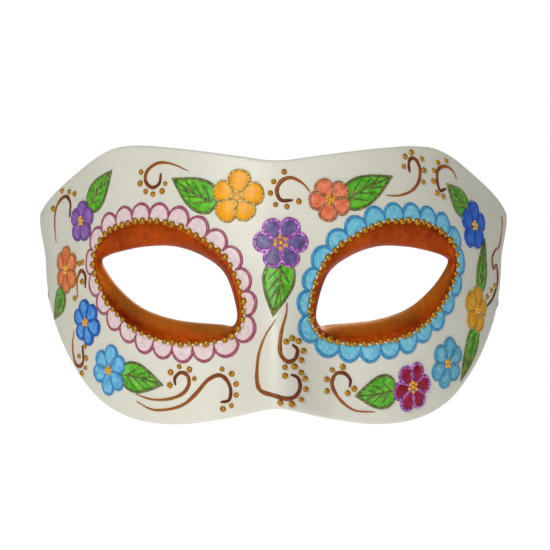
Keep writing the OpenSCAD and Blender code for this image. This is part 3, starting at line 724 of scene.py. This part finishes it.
def petalReach(i):
    s = beadTotal * i / petalGrain
    full = petalPlan["root"] + (petalPlan["long"] - petalPlan["root"]) * (
        petalPlan["side"] + (1 - petalPlan["side"]) * abs(lieOfBeads(s).x))
    f = (i % petalPlan["steps"]) / petalPlan["steps"]
    swell = math.sin(math.pi * f) ** petalPlan["round"] if f else 0
    scale = 1 + (petalSizes[(i // petalPlan["steps"]) % petalPlan["count"]] - 1) * swell
    return full * scale * (petalPlan["valley"] + (1 - petalPlan["valley"]) * swell)


petalOuter = [offBeads(beadTotal * i / petalGrain, petalReach(i)) for i in range(petalGrain)]
petalInner = [offBeads(beadTotal * i / petalGrain, petalPlan["root"]) for i in range(petalGrain)]


def makePetals(side, outer, inner, first, plan):
    section = petalPlan["section"]

    def placeAt(share, around):
        i = round(around * petalGrain) % petalGrain
        across, level = section[round(share * (len(section) - 1))]
        place = inner[i].lerp(outer[i], across)
        return Vector((place.x, place.y, petalPlan["fillHigh"] * level if level > 0 else -paintSink))

    fill = brushedPaint(side + "PetalEnamel", *plan["fill"], 1.7, 0.3, 0.3)
    line = brushedPaint(side + "PetalLiner", *plan["line"], 1.1, 0.32, 0.3)
    bm = bmesh.new()
    shapeGrid(bm, len(section) - 1, petalGrain, placeAt)
    finishPiece(side + "PetalFill", bm, [fill])
    bm = bmesh.new()
    for i in range(first, petalGrain, petalPlan["steps"]):
        arc = [outer[(i + k) % petalGrain] for k in range(petalPlan["steps"] + 1)]
        stroke = [inner[i].lerp(arc[0], k / 3) for k in range(3)] + arc
        brush(bm, openCurve(stroke, 1), plan["wide"], petalPlan["lineHigh"], thinStart=0.8, wobble=0.2)
    finishPiece(side + "PetalLines", bm, [line])


makePetals("right", petalOuter, petalInner, 0, petalPlan["right"])
makePetals("left", flipLoop(petalOuter), flipLoop(petalInner), petalPlan["steps"] - 1, petalPlan["left"])
print("petals painted")


# flowers: domed petals of enamel, each ringed with liner, and drops of gold in the middle
blossomPlan = {
    "high": 0.8, "edgeIn": 0.45, "throat": 0.15, "fullness": {5: 0.94, 6: 0.98}, "egg": 0.24, "steps": 26,
    "turnSpread": 4, "longSpread": 0.05, "padShare": 0.75, "shoulder": 0.8,
    "heart": 0.26, "heartSteps": 16, "heartShare": 0.6, "heartShoulder": 0.6, "dropLift": 0.55,
}
flowerPlans = {
    "flowerPurpleLeft": {
        "slot": "purple_enamel", "at": (-82.4, 22.4), "size": 7.6, "petals": 5, "first": 0,
        "fill": ("#7a4c9a", "#a67cc6"), "edge": ("#5d347c", "#8555a4"), "wide": 1.0},
    "flowerOrangeLeft": {
        "slot": "orange_enamel", "at": (-92.8, 5.4), "size": 8.8, "petals": 6, "first": 0,
        "fill": ("#e06a28", "#f49a62"), "edge": ("#9c5526", "#c47838"), "wide": 1.0},
    "flowerBlueLeft": {
        "slot": "royal_blue_enamel", "at": (-78.4, -12.8), "size": 8.2, "petals": 6, "first": -10,
        "fill": ("#2f7fd0", "#6ab0ea"), "edge": ("#14479c", "#2468be"), "wide": 1.2},
    "flowerSkyLeft": {
        "slot": "sky_blue_enamel", "at": (-66.2, -29), "size": 8.8, "petals": 6, "first": 15,
        "fill": ("#4fa6d4", "#86cdea"), "edge": ("#2c79b4", "#4c9cd0"), "wide": 1.1},
    "flowerYellowTop": {
        "slot": "yellow_enamel", "at": (-13.5, 29.5), "size": 9.2, "petals": 5, "first": 5,
        "fill": ("#f09a00", "#ffb400"), "edge": ("#8a6414", "#b98e26"), "spark": "#e8cc70",
        "wide": 1.0},
    "flowerVioletCentre": {
        "slot": "violet_enamel", "at": (1.3, 14.2), "size": 9.3, "petals": 6, "first": 30,
        "fill": ("#544579", "#7c6ea2"), "edge": ("#7c2f88", "#a04cae"), "spark": "#e2a0e6",
        "wide": 1.5, "high": 0.85},
    "flowerSalmonTop": {
        "slot": "salmon_enamel", "at": (18.2, 28.7), "size": 7.7, "petals": 5, "first": 47,
        "fill": ("#e2683c", "#f39a76"), "edge": ("#8a4420", "#b5683a"), "spark": "#d79a6a",
        "wide": 1.25},
    "flowerBlueRight": {
        "slot": "royal_blue_enamel", "at": (86.5, 21), "size": 8.6, "petals": 5, "first": 5,
        "fill": ("#1c55c4", "#3f7fe0"), "edge": ("#103a94", "#1c50b4"), "wide": 1.1},
    "flowerYellowRight": {
        "slot": "yellow_enamel", "at": (87.5, -8.5), "size": 8.4, "petals": 5, "first": 10,
        "fill": ("#dc9400", "#f6b420"), "edge": ("#a47a10", "#c89a20"), "wide": 1.0},
    "flowerSkyRight": {
        "slot": "sky_blue_enamel", "at": (69, -27), "size": 9, "petals": 6, "first": 5,
        "fill": ("#4d9fbe", "#82c6da"), "edge": ("#2f7a9e", "#4e9cbe"), "wide": 1.1},
    "flowerCrimsonRight": {
        "slot": "crimson_enamel", "at": (51.5, -34.5), "size": 8.9, "petals": 6, "first": 20,
        "fill": ("#7c0028", "#b0123e"), "edge": ("#722578", "#94409a"), "spark": "#d490d8",
        "wide": 1.35},
}


def petalOutline(centre, toward, plan, grow):
    reach = plan["size"] - plan["wide"] * blossomPlan["edgeIn"]
    throat = blossomPlan["throat"] * plan["size"]
    halfLong = (reach * grow - throat) / 2
    middle = throat + halfLong
    halfWide = middle * math.tan(math.pi / plan["petals"]) * blossomPlan["fullness"][plan["petals"]]
    out = Vector((math.sin(toward), math.cos(toward)))
    side = Vector((out.y, -out.x))
    ring = []
    for k in range(blossomPlan["steps"]):
        turn = 2 * math.pi * k / blossomPlan["steps"]
        wide = halfWide * (1 + blossomPlan["egg"] * math.cos(turn))
        ring.append(centre + out * (middle + halfLong * math.cos(turn)) + side * wide * math.sin(turn))
    return ring


for name, plan in flowerPlans.items():
    fill = brushedPaint(name + "Enamel", *plan["fill"], 2.2, 0.34, 0.06)
    if "spark" in plan:
        edge = glitterLiner(name + "Liner", *plan["edge"], plan["spark"])
    else:
        edge = brushedPaint(name + "Liner", *plan["edge"], 1.2, 0.32, 0.3)
    centre = Vector(plan["at"])
    high = plan.get("high", blossomPlan["high"])
    bm = bmesh.new()
    for k in range(plan["petals"]):
        stray = dice.uniform(-blossomPlan["turnSpread"], blossomPlan["turnSpread"])
        toward = math.radians(plan["first"] + 360 * k / plan["petals"] + stray)
        grow = 1 + dice.uniform(-blossomPlan["longSpread"], blossomPlan["longSpread"])
        ring = petalOutline(centre, toward, plan, grow)
        padOn(bm, ring, high * blossomPlan["padShare"], blossomPlan["shoulder"])
        brush(bm, ring, plan["wide"], high, 1, closed=True, wobble=0.14)
    turns = [2 * math.pi * k / blossomPlan["heartSteps"] for k in range(blossomPlan["heartSteps"])]
    heart = [centre + blossomPlan["heart"] * plan["size"] * Vector((math.sin(t), math.cos(t))) for t in turns]
    padOn(bm, heart, high * blossomPlan["heartShare"], blossomPlan["heartShoulder"])
    finishPiece(name, bm, [fill, edge])

heartPlan = {  # paint, drops, size, spread
    "flowerYellowTop": (1, 6, 1.7, 1.9), "flowerVioletCentre": (0, 7, 1.8, 1.9),
    "flowerSalmonTop": (0, 7, 1.5, 1.2), "flowerCrimsonRight": (0, 7, 1.6, 1.6), "others": (0, 6, 1.5, 1.15),
}
bm = bmesh.new()
for name, plan in flowerPlans.items():
    paint, count, size, spread = heartPlan.get(name, heartPlan["others"])
    high = plan.get("high", blossomPlan["high"]) + blossomPlan["dropLift"]
    for k in range(count):
        out = 0 if k == count - 1 else spread
        turn = 2 * math.pi * k / (count - 1) + dice.uniform(-0.25, 0.25)
        place = (plan["at"][0] + out * math.sin(turn), plan["at"][1] + out * math.cos(turn))
        dropOn(bm, place, size * dice.uniform(0.85, 1.15), high, paint,
               stretch=dice.uniform(1, 1.2), angle=dice.uniform(0, 3))
finishPiece("flowerCentres", bm, [warmGold, paleGold])
print("flowers painted")


# leaves: green enamel with a raised bronze edge and veins
leafPlan = {
    "high": 0.35, "edgeWide": 1.25, "edgeHigh": 0.56, "edgeIn": 0.35, "steps": 17, "belly": 0.62,
    "roundStalk": 0.55, "roundTip": 0.95, "grow": 1.1, "tuck": 1.8, "bend": 0.05,
    "ribWide": 1.05, "ribHigh": 0.588, "veins": [(0.14, 0.4), (0.32, 0.6), (0.5, 0.76)],
    "veinWide": 0.8925, "veinHigh": 0.5488, "veinReach": 0.32, "veinSag": 0.06,
}
leaves = {  # stalk end, tip, width
    "leafTempleLeft": ((-76.8, 28.4), (-66.5, 39.5), 9.5),
    "leafCheekLeft": ((-96.5, -3.4), (-105, -12), 8),
    "leafLowLeft": ((-57.9, -30.5), (-41.5, -33.5), 9.5),
    "leafTopLeft": ((-22.3, 27.9), (-37.5, 36), 10),
    "leafBridge": ((1.3, 6.8), (-1.4, -9.8), 9.6),
    "leafTopRight": ((24.5, 29), (42.5, 37), 9.5),
    "leafTempleRight": ((80.4, 27), (70.5, 35), 8.5),
    "leafSideRight": ((91, -0.5), (95, 16), 7.5),
    "leafCheekRight": ((87.5, -16.5), (79.5, -33), 8),
    "leafLowRight": ((42.2, -35.5), (28, -37), 10.5),
}
for name, (stalk, tip, width) in leaves.items():
    stalk, tip = Vector(stalk), Vector(tip)
    stalk -= leafPlan["tuck"] * (tip - stalk).normalized()
    along = tip - stalk
    out = leftOf(along)
    count = leafPlan["steps"]

    def edgeAt(f, way, trim=0.0):
        swell = max(math.sin(math.pi * f ** leafPlan["belly"]), 0)
        roundness = leafPlan["roundStalk"] if f ** leafPlan["belly"] < 0.5 else leafPlan["roundTip"]
        reach = max(leafPlan["grow"] * width / 2 * swell ** roundness - trim, 0)
        return stalk + f * along + way * reach * out

    ring = [edgeAt(i / count, 1, leafPlan["edgeIn"]) for i in range(count)]
    ring += [edgeAt(i / count, -1, leafPlan["edgeIn"]) for i in range(count, 0, -1)]
    bm = bmesh.new()
    padOn(bm, ring, leafPlan["high"], 1.0)
    brush(bm, ring, leafPlan["edgeWide"], leafPlan["edgeHigh"], 1, closed=True, wobble=0.16)
    bend = leafPlan["bend"] * width * out
    rib = openCurve([stalk + 0.1 * along, stalk + 0.5 * along + bend, tip - 0.06 * along], 6)
    brush(bm, rib, leafPlan["ribWide"], leafPlan["ribHigh"], 1, thinEnd=0.6, wobble=0.14)
    for way in (1, -1):
        for start, end in leafPlan["veins"]:
            root = stalk + (start + 0.03 * way) * along + bend * math.sin(math.pi * start)
            far = edgeAt(end, way).lerp(stalk + end * along, leafPlan["veinReach"])
            middle = root.lerp(far, 0.5) - leafPlan["veinSag"] * along * (end - start)
            brush(bm, openCurve([root, middle, far], 4), leafPlan["veinWide"], leafPlan["veinHigh"], 1,
                  thinEnd=0.5, wobble=0.12)
    finishPiece(name, bm, [leafGreen, leafLiner])
print("leaves painted")


# scrolls: one loaded brush stroke each, from its dry tail to its curl
scrollPlan = {"wide": 1.55, "high": 0.34, "steps": 7}
scrolls = {
    "scrollTopLeft": [(-31.5, 38.5), (-38, 41), (-44, 41.5), (-48.5, 39), (-49, 35.5), (-46, 33.2),
        (-43, 34.5), (-42.5, 38)],
    "scrollTopCentre": [(11.5, 31), (9, 34), (5, 36), (1.5, 34.8), (0, 31.5), (1.5, 28.5), (5.5, 28.5)],
    "scrollBrowRight": [(39.5, 30.5), (45, 30.5), (50.5, 32), (54.5, 35), (56, 39), (55, 42.5),
        (52.5, 43.5), (50.8, 41.8), (50.8, 38.5)],
    "scrollTempleRight": [(77, 37), (75, 40), (70.5, 41.3), (66, 40), (64.8, 36.5), (66, 32.8),
        (69.5, 33.5)],
    "scrollTempleLeft": [(-102.5, 15), (-103, 24), (-101.5, 29), (-96, 31.5), (-92, 29), (-91.5, 24)],
    "scrollSideLeft": [(-84, -4.5), (-84.5, 1.5), (-82, 5), (-79, 3.5), (-79, -1)],
    "scrollCheekLeft": [(-87.5, -16), (-89.5, -21.5), (-88.5, -27), (-85.5, -28.5), (-82.3, -26.5),
        (-82, -21)],
    "scrollLowLeftInner": [(-53.5, -37), (-46.5, -38.6), (-39, -38.2), (-33.5, -36.2), (-31, -33),
        (-31.5, -30), (-34, -29.2), (-36.3, -31), (-36.3, -33.5)],
    "scrollLowLeftOuter": [(-53.5, -39.5), (-47, -42), (-40, -41.8), (-33.5, -40), (-28.5, -36.2),
        (-24, -31.6), (-20, -29.8), (-17.2, -31.2), (-15.8, -34.5), (-16.5, -38), (-19.5, -38.8)],
    "scrollNoseLong": [(-0.5, -11), (-4, -16.5), (-6, -22), (-6.7, -27), (-6.7, -31.5), (-5.5, -34.4),
        (-1.2, -35.8), (3, -36.9), (6.2, -36.2), (7.7, -33.5), (7, -30.3), (4.5, -29)],
    "scrollNoseShort": [(3.2, -5.5), (3, -9), (1.6, -14), (0.9, -18.5), (1.2, -22.5), (3.5, -24.8),
        (6, -23.8), (6.7, -21), (5, -19.2)],
    "scrollLowRight": [(36, -42.6), (28.5, -42), (23.5, -39.3), (20, -35.3), (19, -32), (20.5, -29.3),
        (23.5, -29.3), (25.7, -31.5), (25.5, -34)],
    "scrollEdgeRight": [(111.5, 25), (112.5, 20), (111.5, 14), (107, 12.5), (103.5, 9.5), (105, 6),
        (109.5, 7), (110.5, 1), (104.5, -4.5), (97.5, -7.5)],
}
strokePoints = []
for name, points in scrolls.items():
    curve = openCurve(points, scrollPlan["steps"])
    strokePoints += curve
    bm = bmesh.new()
    brush(bm, curve, scrollPlan["wide"], scrollPlan["high"], thinStart=0.3, thinEnd=0.75, wobble=0.22,
          loaded=True)
    finishPiece(name, bm, [scrollBrown])

# dots stand beside the strokes, drawn in a little where they'd stand off
dotPlan = {"size": 2.05, "high": 0.95, "spread": 0.14, "pull": 0.55, "nearest": 2.0}
dots = {
    "dotsLeft": [
        (-51.8, 38.7), (-51.8, 34.5), (-48.8, 31.4), (-45.3, 30.4), (-41.2, 31.4), (-39.8, 34.3),
        (-105.2, 27.5), (-99, 34), (-93, 33.5), (-88.8, 32.5),
        (-86.3, -4.6), (-81.4, 1.3), (-83.2, 8.1), (-80.7, 8.6),
        (-85.3, -24.8), (-83.6, -31.4), (-80.4, -29.2), (-79.4, -25.4), (-79.7, -21.3),
        (-38.3, -28.8), (-34.5, -26.6), (-30.2, -27.6), (-28.3, -31), (-39, -33.5)],
    "dotsMiddle": [
        (2.3, 38.5), (-1.5, 35), (-2.7, 30.8), (-0.8, 26.6), (3.5, 25.8), (7.8, 28),
        (-18.5, -27.2), (-14.9, -28.8), (-13.3, -32.3), (-13.6, -36.2), (-15.6, -39.8), (-18.6, -41.6),
        (2, -29.5), (8.3, -28.1), (9.6, -30.5), (10.2, -34.2), (8.6, -37.8), (5, -39), (1, -38.2),
        (3, -18.3), (4.9, -16.8), (7.4, -17.7), (8.8, -21.4), (8.4, -24.6), (5.8, -26.8), (2.3, -27.1)],
    "dotsRight": [
        (52.5, 46), (48.8, 44.3), (47.7, 40.5), (58, 43.6), (58.3, 39.5), (57.5, 35.2),
        (71.5, 43.7), (66, 42.9), (62.8, 39.8), (62, 35.8), (63.5, 31.5), (67.5, 30.3),
        (18.6, -27.6), (22.8, -26.9), (16.5, -31), (16.7, -35.2), (27.3, -34.5), (24.8, -36.3),
        (106, 0.3), (101.5, -1.5), (97, -3.7)],
}
for name, places in dots.items():
    bm = bmesh.new()
    for place in places:
        place = Vector(place)
        toward = min((p - place for p in strokePoints), key=lambda step: step.length)
        place += toward.normalized() * min(dotPlan["pull"], max(toward.length - dotPlan["nearest"], 0))
        size = dotPlan["size"] * (1 + dice.uniform(-1, 1) * dotPlan["spread"])
        dropOn(bm, place, size, dotPlan["high"], 0, stretch=dice.uniform(0.9, 1.1), angle=dice.uniform(0, 3))
    finishPiece(name, bm, [gold])
print("scrolls and dots painted")


# paper patches over the glued ribbon ends
patchPlan = {
    "long": 22, "over": 2, "hump": 0.85, "humpOver": 0.9, "humpRun": 1.1, "lift": 0.1, "torn": 0.35,
    "paper": 0.45, "columns": 26, "rows": 20,
}


def makePatch(name, side, height, node):
    half = ribbonPlan["width"] / 2

    def placeAt(share, around):
        u = ribbonPlan["exitAt"] - patchPlan["long"] * around
        z = (share * 2 - 1) * (half + patchPlan["over"])
        if around in (0, 1):
            u += patchPlan["torn"] * noise.noise((z * 0.7, around * 3, side))
        rise = ramp((half + patchPlan["humpOver"] - abs(z)) / patchPlan["humpRun"])
        lift = skinPlan["wall"] + patchPlan["lift"] + patchPlan["hump"] * rise
        return Vector((side * u, height + z, -lift))

    bm = bmesh.new()
    shapeGrid(bm, patchPlan["columns"], patchPlan["rows"], placeAt)
    if sum(face.normal.z for face in bm.faces) > 0:
        bmesh.ops.reverse_faces(bm, faces=bm.faces)
    piece = finishPiece(name, bm, [patchPaper], node)
    addModifier(piece, "SOLIDIFY", thickness=patchPlan["paper"] / 1000, offset=1)
    addModifier(piece, "SUBSURF", levels=1, render_levels=1)


makePatch("leftPatch", -1, ribbonPlan["leftHeight"], "left_ribbon_patch")
makePatch("rightPatch", 1, ribbonPlan["rightHeight"], "right_ribbon_patch")
print("patches pasted")


# floor and light
stagePlan = {"middle": (0, 0.04), "drop": 0.35, "radius": 2.0, "white": "#fbfbfa", "glow": 0.35}
whiteFloor = startMaterial("matteWhiteBoard")[0]  # matt coated board, even and pale
endMaterial(whiteFloor, {"Base Color": hexLinear(stagePlan["white"]), "Roughness": 0.9,
                         "Emission Color": hexLinear(stagePlan["white"]),
                         "Emission Strength": stagePlan["glow"]}, {})
bm = bmesh.new()
bmesh.ops.create_circle(bm, cap_ends=True, segments=96, radius=stagePlan["radius"])
bmesh.ops.translate(bm, vec=(*stagePlan["middle"], -stagePlan["drop"]), verts=bm.verts)
floorMesh = bpy.data.meshes.new("floor")
bm.to_mesh(floorMesh)
bm.free()
floorMesh.materials.append(whiteFloor)
floor = bpy.data.objects.new("floor", floorMesh)
bpy.context.collection.objects.link(floor)

world = bpy.data.worlds.new("studio")
world.use_nodes = True
bpy.context.scene.world = world
world.node_tree.nodes.clear()
worldPlan = {"seen": 1.0, "cast": 0.22}
path = addNode(world, "LightPath")
cast = addNode(world, "Background", {"Color": hexLinear("#f6f9ff"), "Strength": worldPlan["cast"]})
seen = addNode(world, "Background", {"Color": (1, 1, 1, 1), "Strength": worldPlan["seen"]})
mixed = addNode(world, "MixShader", None,
                {0: (path, "Is Camera Ray"), 1: (cast, "Background"), 2: (seen, "Background")})
addNode(world, "OutputWorld", None, {"Surface": (mixed, "Shader")})

lampAim = Vector((0, 0.03, 0))
lampPlans = {  # place, watts, size
    "keyLamp": ((-0.45, -1.25, 0.6), 11, 0.6),
    "fillLamp": ((1.1, -0.9, 0.25), 0.8, 1.0),
    "backLamp": ((0.5, 1.3, 0.8), 9, 0.9),
}
for name, (place, watts, size) in lampPlans.items():
    lamp = bpy.data.lights.new(name, "AREA")
    lamp.energy = watts
    lamp.size = size
    lampObject = bpy.data.objects.new(name, lamp)
    lampObject.location = place
    lampObject.rotation_euler = (lampAim - Vector(place)).to_track_quat("-Z", "Y").to_euler()
    bpy.context.collection.objects.link(lampObject)
print("stage lit")

bpy.context.view_layer.update()
